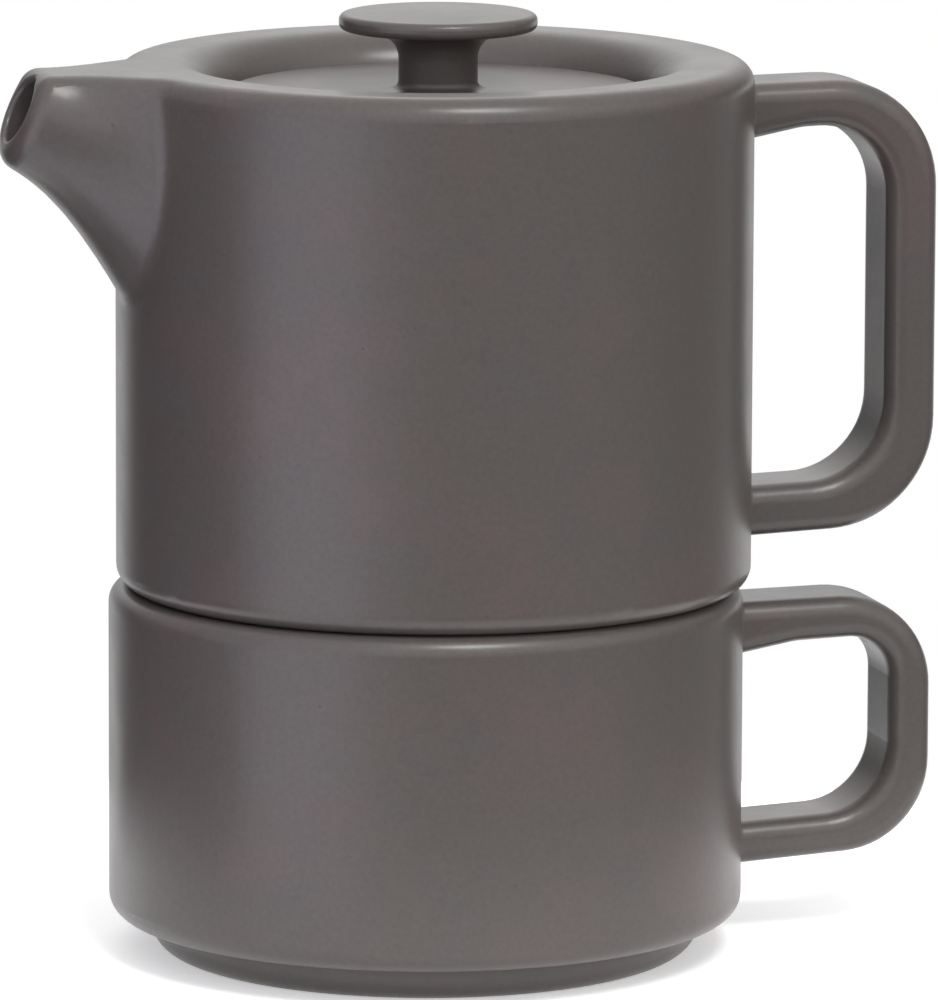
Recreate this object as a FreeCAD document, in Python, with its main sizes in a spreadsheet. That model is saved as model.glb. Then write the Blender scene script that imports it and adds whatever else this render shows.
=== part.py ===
import FreeCAD, Part
import math
import os
import Sketcher

# Stoneware tea for one: a cup, a teapot that stands in the cup's mouth, and the pot's recessed lid.
# Frame: origin at the middle of the cup's foot on the table, +Z up, handles towards +X and the
# spout towards -X. All lengths are millimetres, angles are degrees.

SIZES = {
    # walls shared by cup and pot
    "outer_radius": 52.3,
    "wall": 5.2,
    "floor_thickness": 5.0,
    "floor_round": 9.0,
    # the stepped foot, the same under cup and pot, so that either would fit a cup's mouth
    "foot_clearance": 1.8,
    "foot_height": 6.0,
    "foot_ring": 7.5,
    "foot_recess": 2.0,
    "foot_edge_round": 4.4,
    # cup
    "cup_height": 61.0,
    "cup_base_round": 3.5,
    "cup_rim_round": 3.0,
    "cup_lip_round": 1.2,
    # pot, measured from the cup's rim that carries it, and how far off the cup's axis it stands
    "pot_height": 86.7,
    "pot_shift": 1.3,
    "pot_base_round": 3.5,
    "pot_rim_round": 3.7,
    "pot_rim_width": 16.8,
    "pot_lip_round": 8.0,
    # lid and the gallery that carries it
    "lid_drop": 4.8,
    "lid_thickness": 4.5,
    "lid_clearance": 0.9,
    "lid_shift": 0.5,
    "lid_edge_round": 1.2,
    "seat_width": 3.7,
    "gallery_thickness": 4.0,
    "shoulder_thickness": 7.5,
    "shoulder_width": 5.0,
    "skirt_clearance": 1.0,
    "skirt_wall": 3.0,
    "skirt_depth": 9.0,
    "vent_diameter": 3.0,
    "vent_inset": 9.8,
    # knob
    "knob_radius": 16.25,
    "knob_height": 13.4,
    "knob_dome": 1.1,
    "knob_edge": 2.4,
    "knob_edge_round": 1.1,
    "knob_underside": 1.4,
    "stem_radius": 6.5,
    "stem_top_round": 4.0,
    "stem_base_round": 1.5,
    # handles
    "upper_rise": 0.5,
    "handle_width": 16.0,
    "handle_edge_round": 3.0,
    "handle_root_round": 1.2,
    "flare_depth": 2.2,
    "flare_round": 15.0,
    "cup_handle_drop": 4.8,
    "cup_handle_lift": 5.9,
    "cup_lower_rise": 2.0,
    "cup_bar_upper": 7.0,
    "cup_bar_lower": 7.0,
    "cup_bar_lower_end": 6.3,
    "cup_grip": 7.1,
    "cup_gap_depth": 26.3,
    "cup_round_upper": 15.5,
    "cup_round_lower": 15.5,
    "cup_gap_round_upper": 7.0,
    "cup_gap_round_lower": 11.5,
    "pot_handle_drop": 5.0,
    "pot_handle_lift": 6.2,
    "pot_lower_rise": 1.3,
    "pot_bar_upper": 7.4,
    "pot_bar_lower": 8.5,
    "pot_bar_lower_end": 7.9,
    "pot_grip": 8.6,
    "pot_gap_depth": 23.8,
    "pot_round_upper": 18.0,
    "pot_round_lower": 18.5,
    "pot_gap_round_upper": 11.5,
    "pot_gap_round_lower": 13.5,
    # spout, measured outwards from the pot's wall and down from its rim
    "spout_length": 17.5,
    "mouth_drop": 5.5,
    "mouth_tilt": 24.0,
    "mouth_half_width": 8.8,
    "mouth_half_height": 9.6,
    "mouth_round": 3.2,
    "bore_half_width": 5.2,
    "bore_half_height": 4.7,
    "lip_round": 0.7,
    "neck_set_back": 7.2,
    "neck_drop": 8.5,
    "neck_tilt": 13.0,
    "neck_half_width": 10.8,
    "neck_half_height": 12.0,
    "throat_drop": 12.0,
    "throat_half_width": 15.2,
    "throat_half_height": 26.2,
    "root_depth": 12.0,
    "root_drop": 15.1,
    "root_half_width": 22.0,
    "root_half_height": 39.5,
    "spout_joint_round": 4.5,
    "channel_drop": 19.3,
    "channel_half_width": 9.5,
    "channel_half_height": 14.6,
    "strainer_wall": 4.2,
    "strainer_drop": 22.6,
    "strainer_hole": 2.5,
    "strainer_pitch": 4.2,
}

MOUTH_OVERSHOOT = 1.0
STRAINER_ROWS = (3, 4, 3, 4, 3)
FLARE_SHARE = 0.38
VENT_ANGLE = 75.0
FIT = 1e-3


class Size:
    """A length with its value in millimetres and the formula that gives it from the sheet."""

    def __init__(self, value, formula):
        self.value = float(value)
        self.formula = formula

    def __add__(self, other):
        other = as_size(other)
        return Size(self.value + other.value, "(%s + %s)" % (self.formula, other.formula))

    def __sub__(self, other):
        other = as_size(other)
        return Size(self.value - other.value, "(%s - %s)" % (self.formula, other.formula))

    def __mul__(self, factor):
        return Size(self.value * factor, "(%s * %.9g)" % (self.formula, factor))

    def __neg__(self):
        return self * -1.0


def as_size(length):
    return length if isinstance(length, Size) else Size(length, "%.9g" % length)


doc = FreeCAD.newDocument("tea_for_one")
sheet = doc.addObject("Spreadsheet::Sheet", "sizes")
size = {}
for row, (alias, number) in enumerate(SIZES.items(), start=1):
    sheet.set("A%d" % row, alias)
    sheet.set("B%d" % row, str(number))
    sheet.setAlias("B%d" % row, alias)
    size[alias] = Size(number, "sizes." + alias)
doc.recompute()

ZERO = Size(0.0, "0")


# Levels and radii that more than one piece uses

inner_radius = size["outer_radius"] - size["wall"]
foot_radius = inner_radius - size["foot_clearance"]
cup_top = size["cup_height"]
pot_foot = cup_top - size["foot_height"]
pot_top = cup_top + size["pot_height"]
rim_radius = size["outer_radius"] - size["pot_rim_width"]
lid_top = pot_top - size["lid_drop"]
seat_level = lid_top - size["lid_thickness"]
seat_radius = rim_radius - size["seat_width"]


# Helpers for bodies, sketches and features

def new_body(name):
    body = doc.addObject("PartDesign::Body", name)
    body.Label = name
    return body


def new_sketch(body, name, role, base=(ZERO, ZERO, ZERO), tilt=None):
    """A sketch on an origin plane of its body, moved by base in that plane's own axes."""
    plane = [f for f in body.Origin.OriginFeatures if f.Role == role][0]
    sketch = body.newObject("Sketcher::SketchObject", name)
    sketch.AttachmentSupport = (plane, [""])
    sketch.MapMode = "FlatFace"
    angle = tilt.value if tilt else 0.0
    turn = FreeCAD.Rotation(FreeCAD.Vector(1, 0, 0), angle)
    sketch.AttachmentOffset = FreeCAD.Placement(FreeCAD.Vector(*[b.value for b in base]), turn)
    for axis, length in zip("xyz", base):
        if length is not ZERO:
            sketch.setExpression("AttachmentOffset.Base." + axis, length.formula)
    if tilt:
        sketch.setExpression("AttachmentOffset.Rotation.Angle", tilt.formula)
    return sketch


def tie(sketch, constraint, length):
    """Add a constraint whose size follows a length of the sheet."""
    index = sketch.addConstraint(constraint)
    sketch.setExpression("Constraints[%d]" % index, length.formula)


def hold(sketch, kind, geometry, point, length):
    """Fix one coordinate of a point, measured from the sketch's origin."""
    if abs(length.value) < FIT:
        axis = -2 if kind == "DistanceX" else -1
        sketch.addConstraint(Sketcher.Constraint("PointOnObject", geometry, point, axis))
    else:
        tie(sketch, Sketcher.Constraint(kind, -1, 1, geometry, point, length.value), length)


def polygon(sketch, corners, dome=False):
    """A closed outline of straight lines. With dome, the side that ends in the last corner is an
    arc, level where it meets the upright axis."""
    spots = [FreeCAD.Vector(x.value, y.value, 0) for x, y in corners]
    count = len(corners)
    for i in range(count):
        start, end = spots[i], spots[(i + 1) % count]
        if dome and i == count - 2:
            rise = end.y - start.y
            radius = (start.x ** 2 + rise ** 2) / (2 * rise)
            centre = FreeCAD.Vector(0, end.y - radius, 0)
            first = math.atan2(start.y - centre.y, start.x)
            circle = Part.Circle(centre, FreeCAD.Vector(0, 0, 1), radius)
            sketch.addGeometry(Part.ArcOfCircle(circle, first, math.pi / 2))
        else:
            sketch.addGeometry(Part.LineSegment(start, end))
    for i in range(count):
        sketch.addConstraint(Sketcher.Constraint("Coincident", i, 2, (i + 1) % count, 1))
    if dome:
        sketch.addConstraint(Sketcher.Constraint("PointOnObject", count - 2, 3, -2))
    for i, (x, y) in enumerate(corners):
        hold(sketch, "DistanceX", i, 1, x)
        hold(sketch, "DistanceY", i, 1, y)


def oval(sketch, half_width, half_height):
    """An upright or lying ellipse round the sketch's origin."""
    across = FreeCAD.Vector(half_width.value, 0, 0)
    up = FreeCAD.Vector(0, half_height.value, 0)
    centre = FreeCAD.Vector(0, 0, 0)
    upright = half_height.value > half_width.value
    ends = (up, across) if upright else (across, up)
    sketch.addGeometry(Part.Ellipse(ends[0], ends[1], centre))
    sketch.exposeInternalGeometry(0)
    sketch.addConstraint(Sketcher.Constraint("Coincident", 0, 3, -1, 1))
    sketch.addConstraint(Sketcher.Constraint("Vertical" if upright else "Horizontal", 1))
    longer, shorter = (half_height, half_width) if upright else (half_width, half_height)
    for line, half in ((1, longer), (2, shorter)):
        tie(sketch, Sketcher.Constraint("Distance", line, half.value * 2), half * 2)


def disc(sketch, index, across, up, diameter):
    """The sketch's next circle, numbered index, with its middle at (across, up)."""
    centre = FreeCAD.Vector(across.value, up.value, 0)
    sketch.addGeometry(Part.Circle(centre, FreeCAD.Vector(0, 0, 1), diameter.value / 2))
    hold(sketch, "DistanceX", index, 3, across)
    hold(sketch, "DistanceY", index, 3, up)
    tie(sketch, Sketcher.Constraint("Diameter", index, diameter.value), diameter)


def revolve(body, name, corners, cut=False, dome=False):
    """Turn an outline given as (radius, height) pairs round the upright axis."""
    sketch = new_sketch(body, name + "_outline", "XZ_Plane")
    polygon(sketch, corners, dome)
    kind = "PartDesign::Groove" if cut else "PartDesign::Revolution"
    feature = body.newObject(kind, name)
    feature.Profile = sketch
    feature.ReferenceAxis = (sketch, ["V_Axis"])
    feature.Angle = 360
    doc.recompute()
    return feature


def pad(body, name, sketch, length):
    """Raise a sketch equally to both sides of its plane."""
    feature = body.newObject("PartDesign::Pad", name)
    feature.Profile = sketch
    feature.Midplane = True
    feature.Length = length.value
    feature.setExpression("Length", length.formula)
    doc.recompute()
    return feature


def loft(body, name, sketches, cut=False):
    kind = "PartDesign::SubtractiveLoft" if cut else "PartDesign::AdditiveLoft"
    feature = body.newObject(kind, name)
    feature.Profile = sketches[0]
    feature.Sections = [(sketch, [""]) for sketch in sketches[1:]]
    feature.Ruled = False
    doc.recompute()
    return feature


def pocket(body, name, sketch, length):
    """Cut a sketch away on the side that its plane faces."""
    feature = body.newObject("PartDesign::Pocket", name)
    feature.Profile = sketch
    feature.Length = length.value
    feature.setExpression("Length", length.formula)
    feature.Reversed = True
    doc.recompute()
    return feature


def fillet(body, name, radius, chosen):
    """Round the edges of the body's last feature for which chosen(edge) is true."""
    base = body.Tip
    names = ["Edge%d" % (i + 1) for i, edge in enumerate(base.Shape.Edges) if chosen(edge)]
    if not names:
        raise RuntimeError(name + " found no edge")
    feature = body.newObject("PartDesign::Fillet", name)
    feature.Base = (base, names)
    feature.Radius = radius.value
    feature.setExpression("Radius", radius.formula)
    doc.recompute()
    if not feature.isValid() or feature.Shape.isNull():
        raise RuntimeError(name + " failed")
    return feature


# Ways to pick edges by where they lie

def every(edge, test):
    """True where test holds at points all along a real edge."""
    return not edge.Degenerated and all(test(p) for p in edge.discretize(5))


def ring(radius, level):
    """Picks the whole circle, or its arcs, of this radius at this level round the upright axis."""
    def on_ring(p):
        return abs(math.hypot(p.x, p.y) - radius.value) < FIT and abs(p.z - level.value) < FIT
    return lambda edge: every(edge, on_ring)


def across_at(x, z):
    """Picks the straight edges that run along Y through this place."""
    def at_place(p):
        return abs(p.x - x.value) < FIT and abs(p.z - z.value) < FIT
    return lambda edge: every(edge, at_place)


def on_wall(edge):
    outside = size["outer_radius"].value
    return every(edge, lambda p: abs(math.hypot(p.x, p.y) - outside) < FIT)


# Sub-parts shared by cup and pot

def outside(base, top):
    """Foot with its recess, step and straight wall, closed at the top, as (radius, height) pairs."""
    ring_inside = foot_radius - size["foot_ring"]
    step = base + size["foot_height"]
    return [
        (ZERO, base + size["foot_recess"]),
        (ring_inside - size["foot_recess"], base + size["foot_recess"]),
        (ring_inside, base),
        (foot_radius, base),
        (foot_radius, step),
        (size["outer_radius"], step),
        (size["outer_radius"], top),
        (ZERO, top),
    ]


def handle(body, prefix, base, top):
    """A squared loop handle between the wall's step and top. Both bars rise a little from the wall
    to the grip, the lower one thins on its way, and the upper one flares at the wall."""
    start = size["outer_radius"] - size["wall"] * 0.5
    gap_end = size["outer_radius"] + size[prefix + "_gap_depth"]
    reach = gap_end + size[prefix + "_grip"]
    flare_end = size["outer_radius"] + size[prefix + "_gap_depth"] * FLARE_SHARE
    upper = top - size[prefix + "_handle_drop"]
    upper_end = upper + size["upper_rise"]
    gap_top = upper - size[prefix + "_bar_upper"]
    gap_top_end = upper_end - size[prefix + "_bar_upper"]
    lower = base + size["foot_height"] + size[prefix + "_handle_lift"]
    lower_end = lower + size[prefix + "_lower_rise"]
    gap_bottom = lower + size[prefix + "_bar_lower"]
    gap_bottom_end = lower_end + size[prefix + "_bar_lower_end"]
    corners = [
        (start, upper),
        (reach, upper_end),
        (reach, lower_end),
        (start, lower),
        (start, gap_bottom),
        (gap_end, gap_bottom_end),
        (gap_end, gap_top_end),
        (flare_end, gap_top),
        (start, gap_top - size["flare_depth"]),
    ]
    sketch = new_sketch(body, prefix + "_handle_outline", "XZ_Plane")
    polygon(sketch, corners)
    pad(body, prefix + "_handle", sketch, size["handle_width"])
    for name, radius, x, z in (
            ("_corner_upper", size[prefix + "_round_upper"], reach, upper_end),
            ("_corner_lower", size[prefix + "_round_lower"], reach, lower_end),
            ("_gap_upper", size[prefix + "_gap_round_upper"], gap_end, gap_top_end),
            ("_gap_lower", size[prefix + "_gap_round_lower"], gap_end, gap_bottom_end),
            ("_flare", size["flare_round"], flare_end, gap_top)):
        fillet(body, prefix + name, radius, across_at(x, z))
    side = size["handle_width"].value / 2

    def long_edge(edge):
        return every(edge, lambda p: p.x > start.value and abs(abs(p.y) - side) < FIT) \
            and not on_wall(edge)

    def root_edge(edge):
        box = edge.BoundBox
        near = box.XMin > 0 and box.YMin > -side - FIT and box.YMax < side + FIT
        high = box.ZMax < upper_end.value + FIT and box.ZMin > lower.value - FIT
        return near and high and on_wall(edge)

    fillet(body, prefix + "_handle_edges", size["handle_edge_round"], long_edge)
    fillet(body, prefix + "_handle_root", size["handle_root_round"], root_edge)


def round_foot(body, base, base_round):
    """Round the wall's lower corner and the edge that the foot stands on."""
    step = base + size["foot_height"]
    fillet(body, body.Name + "_base_round", base_round, ring(size["outer_radius"], step))
    fillet(body, body.Name + "_foot_edge", size["foot_edge_round"],
           ring(foot_radius, base))


# Cup

cup = new_body("cup")
revolve(cup, "cup_solid", outside(ZERO, cup_top))
handle(cup, "cup", ZERO, cup_top)
round_foot(cup, ZERO, size["cup_base_round"])
fillet(cup, "cup_rim", size["cup_rim_round"], ring(size["outer_radius"], cup_top))
cup_floor = size["foot_recess"] + size["floor_thickness"]
revolve(cup, "cup_hollow", [
    (ZERO, cup_floor),
    (inner_radius, cup_floor),
    (inner_radius, cup_top),
    (ZERO, cup_top),
], cut=True)
fillet(cup, "cup_floor_corner", size["floor_round"], ring(inner_radius, cup_floor))
fillet(cup, "cup_lip", size["cup_lip_round"], ring(inner_radius, cup_top))


# Teapot

pot = new_body("teapot")
revolve(pot, "pot_solid", outside(pot_foot, pot_top))

mouth_reach = size["outer_radius"] + size["spout_length"]
neck_reach = mouth_reach - size["neck_set_back"]
root_reach = size["outer_radius"] - size["root_depth"]


def spout_section(name, reach, drop, tilt, half_width, half_height, overshoot=0.0):
    """An oval across the spout, at reach from the axis and drop below the pot's rim."""
    base = (ZERO, pot_top - drop, -reach - overshoot)
    sketch = new_sketch(pot, name, "YZ_Plane", base, tilt)
    oval(sketch, half_width, half_height)
    return sketch


# The spout's outside runs from an oval inside the pot, through the wall and a slim neck, to the
# tilted mouth. Its top is trimmed level with the rim, so that rim and spout share one flat top
# before rounding.
loft(pot, "spout", [
    spout_section("spout_root", root_reach, size["root_drop"], None,
                  size["root_half_width"], size["root_half_height"]),
    spout_section("spout_throat", size["outer_radius"], size["throat_drop"], None,
                  size["throat_half_width"], size["throat_half_height"]),
    spout_section("spout_neck", neck_reach, size["neck_drop"], size["neck_tilt"],
                  size["neck_half_width"], size["neck_half_height"]),
    spout_section("spout_mouth", mouth_reach, size["mouth_drop"], size["mouth_tilt"],
                  size["mouth_half_width"], size["mouth_half_height"]),
])
trim = new_sketch(pot, "trim_outline", "XY_Plane", (ZERO, ZERO, pot_top))
disc(trim, 0, ZERO, ZERO, (mouth_reach + size["mouth_half_height"]) * 2)
pocket(pot, "trim", trim, size["root_half_height"])


def spout_joint(edge):
    level = edge.BoundBox.ZLength > FIT
    return level and edge.BoundBox.XMax < 0 and on_wall(edge)


def top_outline(edge):
    flat = every(edge, lambda p: abs(p.z - pot_top.value) < FIT)
    return flat and edge.Curve.TypeId != "Part::GeomLine"


def mouth_edge(edge):
    """Picks the edges that lie in the tilted plane of the mouth."""
    tilt = math.radians(size["mouth_tilt"].value)

    def in_mouth(p):
        outwards = p.x + mouth_reach.value
        upwards = p.z - pot_top.value + size["mouth_drop"].value
        return abs(outwards * math.cos(tilt) - upwards * math.sin(tilt)) < FIT

    return edge.BoundBox.XMax < 0 and every(edge, in_mouth)


fillet(pot, "spout_joint", size["spout_joint_round"], spout_joint)
fillet(pot, "pot_rim", size["pot_rim_round"], top_outline)
fillet(pot, "mouth_round", size["mouth_round"], mouth_edge)
handle(pot, "pot", pot_foot, pot_top)
round_foot(pot, pot_foot, size["pot_base_round"])

# The hollow, with the shoulder under the rim and the gallery that the lid sits in
pot_floor = pot_foot + size["foot_recess"] + size["floor_thickness"]
gallery_under = seat_level - size["gallery_thickness"]
shoulder_under = pot_top - size["shoulder_thickness"]
revolve(pot, "pot_hollow", [
    (ZERO, pot_floor),
    (inner_radius, pot_floor),
    (inner_radius, shoulder_under),
    (rim_radius + size["shoulder_width"], gallery_under),
    (seat_radius, gallery_under),
    (seat_radius, seat_level),
    (rim_radius, seat_level),
    (rim_radius, pot_top),
    (ZERO, pot_top),
], cut=True)
fillet(pot, "pot_floor_corner", size["floor_round"], ring(inner_radius, pot_floor))
fillet(pot, "pot_lip", size["pot_lip_round"], ring(rim_radius, pot_top))

# The channel from the strainer wall to the mouth, and the strainer's holes
channel_start = size["outer_radius"] - size["wall"] + size["strainer_wall"]
loft(pot, "channel", [
    spout_section("channel_root", channel_start, size["channel_drop"], None,
                  size["channel_half_width"], size["channel_half_height"]),
    spout_section("channel_mouth", mouth_reach + MOUTH_OVERSHOOT, size["mouth_drop"],
                  size["mouth_tilt"], size["bore_half_width"], size["bore_half_height"]),
], cut=True)
strainer = new_sketch(pot, "strainer_outline", "YZ_Plane", (ZERO, ZERO, -channel_start))
strainer_level = pot_top - size["strainer_drop"]
for row, count in enumerate(STRAINER_ROWS):
    rows_up = (len(STRAINER_ROWS) - 1) / 2 - row
    row_level = strainer_level + size["strainer_pitch"] * (rows_up * math.sin(math.pi / 3))
    for k in range(count):
        across = size["strainer_pitch"] * (k - (count - 1) / 2)
        disc(strainer, k + sum(STRAINER_ROWS[:row]), across, row_level, size["strainer_hole"])
pocket(pot, "strainer", strainer, size["wall"] * 2)


fillet(pot, "spout_lip", size["lip_round"], mouth_edge)


# Lid

lid = new_body("lid")
lid_radius = rim_radius - size["lid_clearance"]
skirt_radius = seat_radius - size["skirt_clearance"]
skirt_inside = skirt_radius - size["skirt_wall"]
knob_top = lid_top + size["knob_height"]
knob_shoulder = knob_top - size["knob_dome"]
knob_under = knob_shoulder - size["knob_edge"]
stem_top = knob_under - size["knob_underside"]
revolve(lid, "lid_solid", [
    (ZERO, seat_level),
    (skirt_inside, seat_level),
    (skirt_inside, seat_level - size["skirt_depth"]),
    (skirt_radius, seat_level - size["skirt_depth"]),
    (skirt_radius, seat_level),
    (lid_radius, seat_level),
    (lid_radius, lid_top),
    (size["stem_radius"], lid_top),
    (size["stem_radius"], stem_top),
    (size["knob_radius"], knob_under),
    (size["knob_radius"], knob_shoulder),
    (ZERO, knob_top),
], dome=True)
fillet(lid, "lid_edge", size["lid_edge_round"], ring(lid_radius, lid_top))
fillet(lid, "knob_edge_upper", size["knob_edge_round"], ring(size["knob_radius"], knob_shoulder))
fillet(lid, "knob_edge_lower", size["knob_edge_round"], ring(size["knob_radius"], knob_under))
fillet(lid, "stem_top", size["stem_top_round"], ring(size["stem_radius"], stem_top))
fillet(lid, "stem_base", size["stem_base_round"], ring(size["stem_radius"], lid_top))
vent = new_sketch(lid, "vent_outline", "XY_Plane", (ZERO, ZERO, seat_level))
vent_place = skirt_inside - size["vent_inset"]
vent_turn = math.radians(VENT_ANGLE)
disc(vent, 0, vent_place * math.cos(vent_turn), vent_place * math.sin(vent_turn),
     size["vent_diameter"])
pocket(lid, "vent", vent, size["lid_thickness"] * 2)


# The pot stands a little off the cup's axis and the lid a little off the pot's, as far as a loose
# foot and a loose lid let them

for body, shift in ((pot, size["pot_shift"]), (lid, size["pot_shift"] + size["lid_shift"])):
    body.Placement.Base = FreeCAD.Vector(shift.value, 0, 0)
    body.setExpression("Placement.Base.x", shift.formula)


# Check and write

doc.recompute()
for item in doc.Objects:
    if "Invalid" in item.State or "Error" in item.State:
        raise RuntimeError("%s did not recompute: %s" % (item.Name, item.State))
os.makedirs("parts", exist_ok=True)
for body in (cup, pot, lid):
    shape = body.Shape
    if shape.isNull() or not shape.isValid() or len(shape.Solids) != 1:
        raise RuntimeError(body.Label + " is not one valid solid")
    shape.exportStep("parts/%s.step" % body.Label)
    print("%s %.1f mm3" % (body.Label, shape.Volume))
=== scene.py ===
import math

import bpy
from mathutils import Matrix, Vector


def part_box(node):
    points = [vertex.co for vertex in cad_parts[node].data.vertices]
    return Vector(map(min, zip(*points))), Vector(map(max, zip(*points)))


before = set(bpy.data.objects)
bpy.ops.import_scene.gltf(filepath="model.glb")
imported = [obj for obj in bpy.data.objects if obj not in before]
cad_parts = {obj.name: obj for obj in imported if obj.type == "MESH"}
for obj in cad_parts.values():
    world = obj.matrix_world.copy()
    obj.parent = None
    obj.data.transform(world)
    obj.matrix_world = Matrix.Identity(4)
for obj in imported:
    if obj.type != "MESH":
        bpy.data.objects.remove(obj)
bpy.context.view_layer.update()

# Stoneware tea for one: looks, floor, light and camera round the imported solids. Lengths are metres.

MM = 0.001

# Camera, fitted to the photograph's circles and outlines
VIEW_AZIMUTH = math.radians(-15.9)
VIEW_ELEVATION = math.radians(9.67)
VIEW_ROLL = math.radians(0.22)
VIEW_DISTANCE = 1.65
VIEW_AIM = Vector((6.77, -1.99, 74.74)) * MM
VIEW_DEPTH = 10.0
LENS = 360.8
SENSOR = 36.0

# Level directions from the object: to the camera, and to the right as the camera sees it
TO_CAMERA = Vector((math.sin(VIEW_AZIMUTH), -math.cos(VIEW_AZIMUTH), 0.0))
TO_RIGHT = Vector((math.cos(VIEW_AZIMUTH), math.sin(VIEW_AZIMUTH), 0.0))

# Colours, linear
GLAZE = (0.086, 0.074, 0.069, 1.0)
GLAZE_WARM = (0.097, 0.075, 0.072, 1.0)
GLAZE_COOL = (0.078, 0.073, 0.072, 1.0)
# Painted shade: the glaze's small pits are darkened towards this colour
PIT_SHADE_COLOUR = (0.040, 0.034, 0.031, 1.0)
BARE_CLAY = (0.30, 0.24, 0.19, 1.0)
FLOOR_COLOUR = (0.92, 0.92, 0.92, 1.0)
WHITE = (1.0, 1.0, 1.0, 1.0)

# Glaze: sizes of its features, and the noise levels between which each one comes in
MOTTLE_SIZE = 30 * MM
MOTTLE_RANGE = (0.48, 0.68)
CLOUD_SIZE = 12 * MM
CLOUD_RANGE = (0.50, 0.72)
CLOUD_SHARE = 0.7
GRAIN_SIZE = 0.9 * MM
GRAIN_SHADES = (0.92, 1.08)
PEEL_SIZE = 2.2 * MM
PIT_SPACING = 9 * MM
PIT_RANGE = (0.02, 0.04)
# Share of the painted shade colour in each pit
PIT_SHADE_SHARE = 0.5
NOISE_MIDDLE = (0.3, 0.7)
RELIEF_GRAIN = 0.25
RELIEF_STRENGTH = 0.22
RELIEF_HEIGHT = 0.06 * MM
GLAZE_ROUGHNESS = (0.28, 0.34)
GLAZE_IOR = 1.5
PIECE_SHIFT = Vector((0.31, 0.17, 0.0))

# Glaze stops between these heights above the ring that a piece stands on
BARE_HEIGHT = 0.25 * MM
GLAZED_HEIGHT = 0.45 * MM
BARE_ROUGHNESS = 0.85

FLOOR_RADIUS = 0.15
FLOOR_SIDES = 128
FLOOR_LIFT = 0.40

# Surround by azimuth in degrees from the camera's side, positive to its right: its brightness
# below the horizon, above it and higher up, and its share of the soft panel's cool tint
SURROUND = (
    (-180, 0.30, 1.05, 1.60, 0.0),
    (-154, 1.30, 0.60, 0.80, 0.0),
    (-140, 0.00, 0.00, 0.40, 0.0),
    (-84, 0.00, 0.00, 0.40, 0.0),
    (-74, 0.10, 0.00, 0.60, 1.0),
    (-62, 1.60, 1.10, 1.20, 1.0),
    (-31, 1.50, 1.30, 1.20, 1.0),
    (-19, 0.65, 1.20, 1.30, 0.0),
    (4, 0.15, 1.15, 1.40, 0.0),
    (46, 0.35, 1.15, 1.40, 0.0),
    (72, 0.45, 0.90, 1.30, 0.0),
    (98, 0.25, 0.30, 0.70, 0.0),
    (126, 0.25, 0.05, 0.40, 0.0),
    (152, 1.30, 0.20, 0.70, 0.0),
    (180, 0.30, 1.05, 1.60, 0.0),
)
PANEL_TINT = (0.97, 0.95, 1.10)

# No level in the table may be higher than this
BRIGHTEST = 4.0

# Sines of the elevations between which one level goes over into the next
HORIZON = (-0.03, 0.08)
HIGHER = (0.15, 0.40)
OVERHEAD = (0.60, 0.90)
OVERHEAD_LEVEL = 0.95

# A small soft lamp high in front, which puts the highlight on rim, knob and handles
LAMP_AZIMUTH = math.radians(24.0)
LAMP_ELEVATION = math.radians(55.0)
LAMP_LEVEL = 20.0
LAMP_CORE = math.radians(5.0)
LAMP_EDGE = math.radians(11.0)


def grey(level):
    return (level, level, level, 1.0)


class Graph:
    """Short calls that build a node tree."""

    def __init__(self, tree):
        self.tree = tree
        tree.nodes.clear()

    def add(self, kind, inputs=None, **settings):
        node = self.tree.nodes.new(kind)
        for key, value in settings.items():
            setattr(node, key, value)
        for key, value in (inputs or {}).items():
            if isinstance(value, bpy.types.NodeSocket):
                self.tree.links.new(value, node.inputs[key])
            else:
                node.inputs[key].default_value = value
        return node

    def math(self, operation, first, second):
        return self.add("ShaderNodeMath", {0: first, 1: second}, operation=operation).outputs[0]

    def ramp(self, value, between, levels=(0.0, 1.0), smooth=True):
        """Value taken from one pair of numbers to the other, held at the ends."""
        kind = "SMOOTHSTEP" if smooth else "LINEAR"
        node = self.add("ShaderNodeMapRange", {
            0: value, 1: between[0], 2: between[1], 3: levels[0], 4: levels[1]},
            interpolation_type=kind)
        return node.outputs[0]

    def mix(self, factor, first, second):
        """Colour between first and second."""
        node = self.add("ShaderNodeMix", {0: factor, 6: first, 7: second}, data_type="RGBA")
        return node.outputs[2]

    def blend(self, factor, first, second):
        """Number between first and second."""
        node = self.add("ShaderNodeMix", {0: factor, 2: first, 3: second}, data_type="FLOAT")
        return node.outputs[0]

    def moved(self, place, shift):
        return self.add("ShaderNodeVectorMath", {0: place, 1: shift}, operation="ADD").outputs[0]

    def scaled(self, colour, factor):
        return self.add("ShaderNodeVectorMath", {0: colour, 3: factor}, operation="SCALE").outputs[0]

    def along(self, way, direction):
        """How far a way goes along a direction."""
        node = self.add("ShaderNodeVectorMath", {0: way, 1: direction}, operation="DOT_PRODUCT")
        return node.outputs[1]

    def height(self, place):
        return self.add("ShaderNodeSeparateXYZ", {0: place}).outputs[2]

    def noise(self, where, size, detail, roughness):
        """Noise between 0 and 1 with features about size metres wide."""
        node = self.add("ShaderNodeTexNoise", {
            "Vector": where, "Scale": 1.0 / size, "Detail": detail, "Roughness": roughness})
        return node.outputs[0]


# Stoneware

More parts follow.
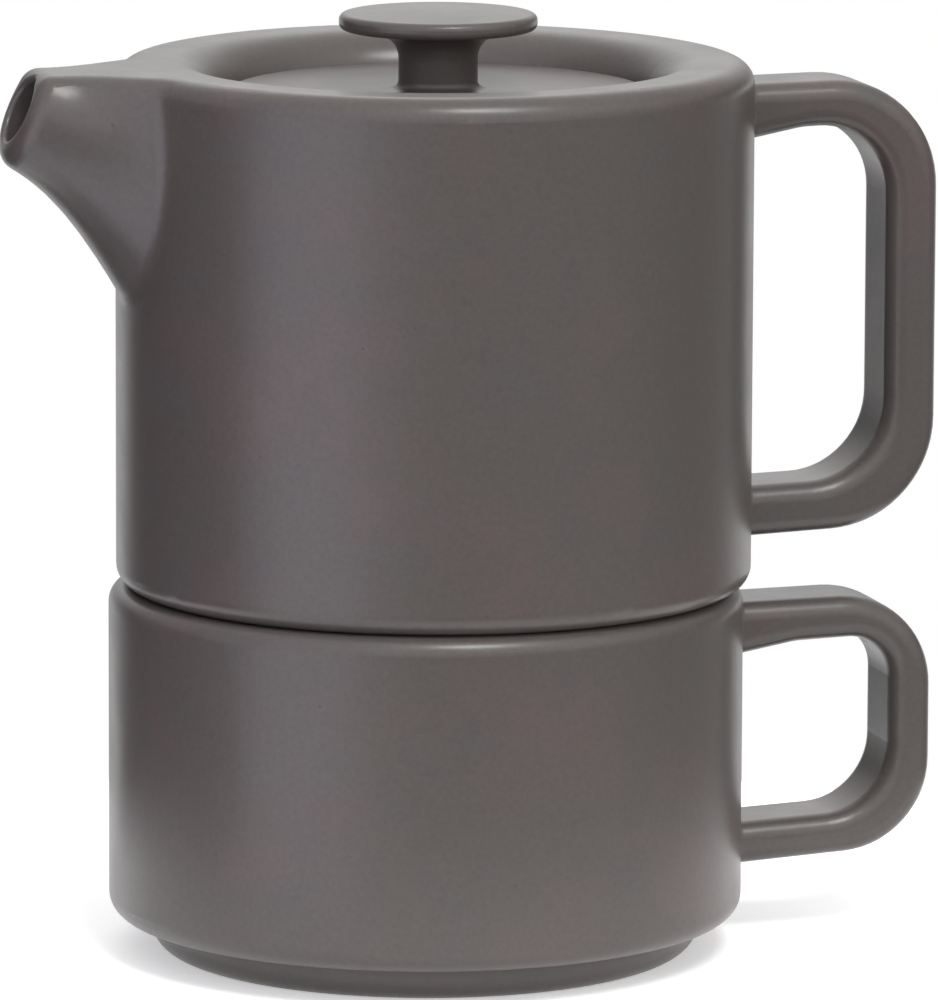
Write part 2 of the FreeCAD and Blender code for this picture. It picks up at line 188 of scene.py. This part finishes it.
def stoneware(name, shift, lowest):
    """Matt glaze over stoneware: soft mottling, fine grain, few pits darkened with painted shade, and
    a bare ring underneath.
    """
    material = bpy.data.materials.new(name)
    material.use_nodes = True
    g = Graph(material.node_tree)
    place = g.add("ShaderNodeTexCoord").outputs["Object"]
    where = g.moved(place, shift)
    bare = g.ramp(g.height(place), (lowest + BARE_HEIGHT, lowest + GLAZED_HEIGHT), (1.0, 0.0))

    mottle = g.noise(where, MOTTLE_SIZE, 4.0, 0.55)
    cloud = g.noise(where, CLOUD_SIZE, 4.0, 0.6)
    grain = g.noise(where, GRAIN_SIZE, 3.0, 0.6)
    peel = g.noise(where, PEEL_SIZE, 2.0, 0.5)
    pits = g.add("ShaderNodeTexVoronoi", {"Vector": where, "Scale": 1.0 / PIT_SPACING})
    pit = g.ramp(pits.outputs["Distance"], PIT_RANGE, (1.0, 0.0))

    warm = g.mix(g.ramp(mottle, MOTTLE_RANGE), GLAZE, GLAZE_WARM)
    glaze = g.mix(g.ramp(cloud, CLOUD_RANGE, (0.0, CLOUD_SHARE)), warm, GLAZE_COOL)
    grained = g.scaled(glaze, g.ramp(grain, NOISE_MIDDLE, GRAIN_SHADES, smooth=False))
    # The pits are darkened with painted shade; their dip in the relief below is a real bump
    pit_shaded = g.mix(g.math("MULTIPLY", pit, PIT_SHADE_SHARE), grained, PIT_SHADE_COLOUR)
    colour = g.mix(bare, pit_shaded, BARE_CLAY)

    relief = g.math("ADD", g.math("MULTIPLY", grain, RELIEF_GRAIN), peel)
    relief = g.math("SUBTRACT", relief, pit)
    bump = g.add("ShaderNodeBump", {
        "Strength": RELIEF_STRENGTH, "Distance": RELIEF_HEIGHT, "Height": relief})
    glazed = g.ramp(cloud, NOISE_MIDDLE, GLAZE_ROUGHNESS, smooth=False)
    shader = g.add("ShaderNodeBsdfPrincipled", {
        "Base Color": colour, "Roughness": g.blend(bare, glazed, BARE_ROUGHNESS),
        "Normal": bump.outputs[0], "IOR": GLAZE_IOR})
    g.add("ShaderNodeOutputMaterial", {0: shader.outputs[0]})
    return material


for number, piece in enumerate(("cup", "teapot", "lid")):
    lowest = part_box(piece)[0][2]
    material = stoneware("stoneware_" + piece, PIECE_SHIFT * number, lowest)
    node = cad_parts[piece]
    node.data.materials.clear()
    node.data.materials.append(material)


# Floor

def floor_material():
    """Pale floor that keeps the shadow; seen or mirrored, it is lifted to white away from it."""
    material = bpy.data.materials.new("floor")
    material.use_nodes = True
    g = Graph(material.node_tree)
    path = g.add("ShaderNodeLightPath")
    seen = g.math("ADD", path.outputs["Is Camera Ray"], path.outputs["Is Glossy Ray"])
    matt = g.add("ShaderNodeBsdfDiffuse", {"Color": FLOOR_COLOUR})
    glow = g.add("ShaderNodeEmission", {"Strength": g.math("MULTIPLY", seen, FLOOR_LIFT)})
    both = g.add("ShaderNodeAddShader", {0: matt.outputs[0], 1: glow.outputs[0]})
    g.add("ShaderNodeOutputMaterial", {0: both.outputs[0]})
    return material


bpy.ops.mesh.primitive_circle_add(vertices=FLOOR_SIDES, radius=FLOOR_RADIUS, fill_type="NGON")
floor = bpy.context.object
floor.name = "floor"
floor.data.materials.append(floor_material())


# Surround

def around(g, share, column):
    """One brightness column of the surround's table, as a colour by share of the full turn."""
    ramp = g.add("ShaderNodeValToRGB", {0: share})
    stops = ramp.color_ramp.elements
    while len(stops) < len(SURROUND):
        stops.new(0.5)
    for stop, row in zip(stops, SURROUND):
        azimuth, level, cool = row[0], row[column], row[-1]
        tint = [1 + cool * (part - 1) for part in PANEL_TINT]
        stop.position = (azimuth + 180) / 360
        stop.color = (*(level / BRIGHTEST * part for part in tint), 1.0)
    return g.scaled(ramp.outputs[0], BRIGHTEST)


def lamp_direction():
    level = TO_CAMERA * math.cos(LAMP_AZIMUTH) + TO_RIGHT * math.sin(LAMP_AZIMUTH)
    direction = level * math.cos(LAMP_ELEVATION)
    direction.z = math.sin(LAMP_ELEVATION)
    return direction


def surround():
    """A light tent: a tall soft panel on the left of the camera, dark to the far left, bright above
    and behind, pale overhead, with one lamp in it. The camera sees it as plain white."""
    world = bpy.data.worlds.new("surround")
    bpy.context.scene.world = world
    world.use_nodes = True
    g = Graph(world.node_tree)
    way = g.add("ShaderNodeTexCoord").outputs["Generated"]
    rise = g.height(way)
    turn = g.math("ARCTAN2", g.along(way, TO_RIGHT), g.along(way, TO_CAMERA))
    share = g.ramp(turn, (-math.pi, math.pi), smooth=False)
    low, middle, high = (around(g, share, column) for column in (1, 2, 3))
    light = g.mix(g.ramp(rise, HORIZON), low, middle)
    light = g.mix(g.ramp(rise, HIGHER), light, high)
    light = g.mix(g.ramp(rise, OVERHEAD), light, grey(OVERHEAD_LEVEL))
    facing = g.along(way, lamp_direction())
    lamp = g.ramp(facing, (math.cos(LAMP_EDGE), math.cos(LAMP_CORE)))
    light = g.mix(lamp, light, grey(LAMP_LEVEL))
    path = g.add("ShaderNodeLightPath")
    seen = g.mix(path.outputs["Is Camera Ray"], light, WHITE)
    background = g.add("ShaderNodeBackground", {"Color": seen, "Strength": 1.0})
    g.add("ShaderNodeOutputWorld", {0: background.outputs[0]})


surround()


# Camera

def place_camera():
    look = TO_CAMERA * -math.cos(VIEW_ELEVATION)
    look.z = -math.sin(VIEW_ELEVATION)
    up = TO_RIGHT.cross(look)
    across = TO_RIGHT * math.cos(VIEW_ROLL) + up * math.sin(VIEW_ROLL)
    upwards = up * math.cos(VIEW_ROLL) - TO_RIGHT * math.sin(VIEW_ROLL)
    data = bpy.data.cameras.new("camera")
    data.lens = LENS
    data.sensor_width = SENSOR
    data.sensor_height = SENSOR
    data.sensor_fit = "AUTO"
    data.clip_end = VIEW_DEPTH
    camera = bpy.data.objects.new("camera", data)
    turned = Matrix((across, upwards, -look)).transposed().to_4x4()
    camera.matrix_world = Matrix.Translation(VIEW_AIM - look * VIEW_DISTANCE) @ turned
    bpy.context.scene.collection.objects.link(camera)
    bpy.context.scene.camera = camera


place_camera()
bpy.context.scene.view_settings.view_transform = "Standard"
